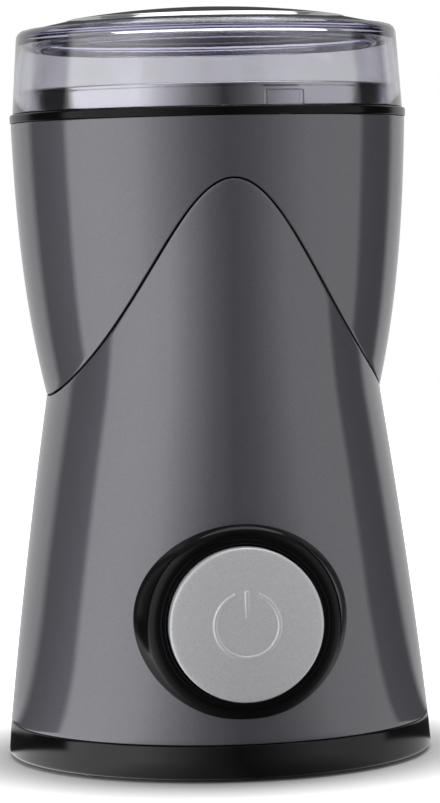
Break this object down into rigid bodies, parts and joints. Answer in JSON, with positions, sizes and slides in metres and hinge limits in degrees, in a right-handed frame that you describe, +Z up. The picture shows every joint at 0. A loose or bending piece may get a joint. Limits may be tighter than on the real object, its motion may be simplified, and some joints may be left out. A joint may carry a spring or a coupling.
{
  "type": "electric spice grinder",
  "caption": "Electric spice grinder with a lift-off clear lid, a steel bowl and blade over an upright motor, and a round push button on a waisted two-part housing.",
  "frame": {"origin": "on the floor under the blade's axis, which is the middle of the base", "axes": "+Z up along the blade's axis, -Y to the front where the button is, +X to the right seen from the front"},
  "size_m": [0.1, 0.1059, 0.175],
  "materials": {
    "clear_plastic": "clear, polished",
    "polished_steel": "polished",
    "black_gloss": "gloss",
    "grey_plastic": "metallic grey, satin gloss",
    "silver_plastic": "silver, satin",
    "dark_plastic": "moulded",
    "black_plastic": "moulded",
    "rubber": "matt",
    "steel": "bright",
    "red_plastic": "moulded",
    "white_plastic": "moulded",
    "cast_metal": "die-cast",
    "bronze": "sintered",
    "lamination": "stacked sheet",
    "copper": "enamelled",
    "carbon": "pressed carbon",
    "board": "resin board",
    "yellow_plastic": "moulded",
    "ceramic_body": "glazed"
  },
  "bodies": {
    "housing": {"bowl": "polished_steel", "trim_ring": "black_gloss", "upper_shell": "grey_plastic", "lower_shell": "grey_plastic", "bezel": "black_gloss", "button_spring": "steel", "switch_body": "dark_plastic", "base": "black_plastic", "rubber_feet": "rubber", "base_screws": "steel", "cord_grommet": "rubber", "chassis": "dark_plastic", "bowl_gasket": "rubber", "bowl_nut": "steel", "drive_bush": "white_plastic", "shaft_seal": "rubber", "upper_bracket": "cast_metal", "lower_bracket": "cast_metal", "upper_bush": "bronze", "lower_bush": "bronze", "stator_core": "lamination", "field_coils": "copper", "brushes": "carbon", "brush_holders": "bronze", "brush_springs": "steel", "motor_screws": "steel", "motor_dampers": "rubber", "bracket_screws": "steel", "ring_screws": "steel", "bezel_screws": "steel", "interlock_spring": "steel", "interlock_switch": "dark_plastic", "circuit_board": "board", "capacitor": "yellow_plastic", "terminal_block": "white_plastic", "thermal_fuse": "ceramic_body", "board_screws": "steel"},
    "lid": {"lid": "clear_plastic", "lid_disc": "polished_steel"},
    "rotor": {"blade": "steel", "blade_hub": "black_plastic", "blade_nut": "black_plastic", "shaft": "steel", "armature_core": "lamination", "armature_windings": "copper", "commutator": "copper", "cooling_fan": "white_plastic"},
    "button": {"button_cap": "silver_plastic", "button_carrier": "dark_plastic"},
    "switch_key": {"switch_plunger": "red_plastic"},
    "interlock": {"interlock_rod": "white_plastic"},
    "interlock_key": {"interlock_plunger": "red_plastic"}
  },
  "joints": [
    {"name": "lid_lift", "type": "slide", "parent": "housing", "child": "lid", "axis": [0, 0, 1], "range_m": [0, 0.06]},
    {"name": "interlock_rise", "type": "slide", "parent": "housing", "child": "interlock", "axis": [0, 0, 1], "range_m": [0, 0.002], "deforming": ["interlock_spring"]},
    {"name": "interlock_key_rise", "type": "slide", "parent": "housing", "child": "interlock_key", "axis": [0, 0, 1], "range_m": [0, 0.0008]},
    {"name": "button_press", "type": "slide", "parent": "housing", "child": "button", "axis": [0, 1, 0], "range_m": [0, 0.003], "stiffness_N_per_m": 800, "springref_m": -0.0015, "deforming": ["button_spring"]},
    {"name": "switch_key_press", "type": "slide", "parent": "housing", "child": "switch_key", "axis": [0, 1, 0], "range_m": [0, 0.003]},
    {"name": "motor_spin", "type": "hinge", "parent": "housing", "child": "rotor", "pos_m": [0, 0, 0.08], "axis": [0, 0, 1], "continuous": true}
  ],
  "couplings": [
    {"joint": "interlock_rise", "follows": "lid_lift", "ratio": 0.033333},
    {"joint": "interlock_key_rise", "follows": "lid_lift", "ratio": 0.013333},
    {"joint": "switch_key_press", "follows": "button_press", "ratio": 1}
  ]
}
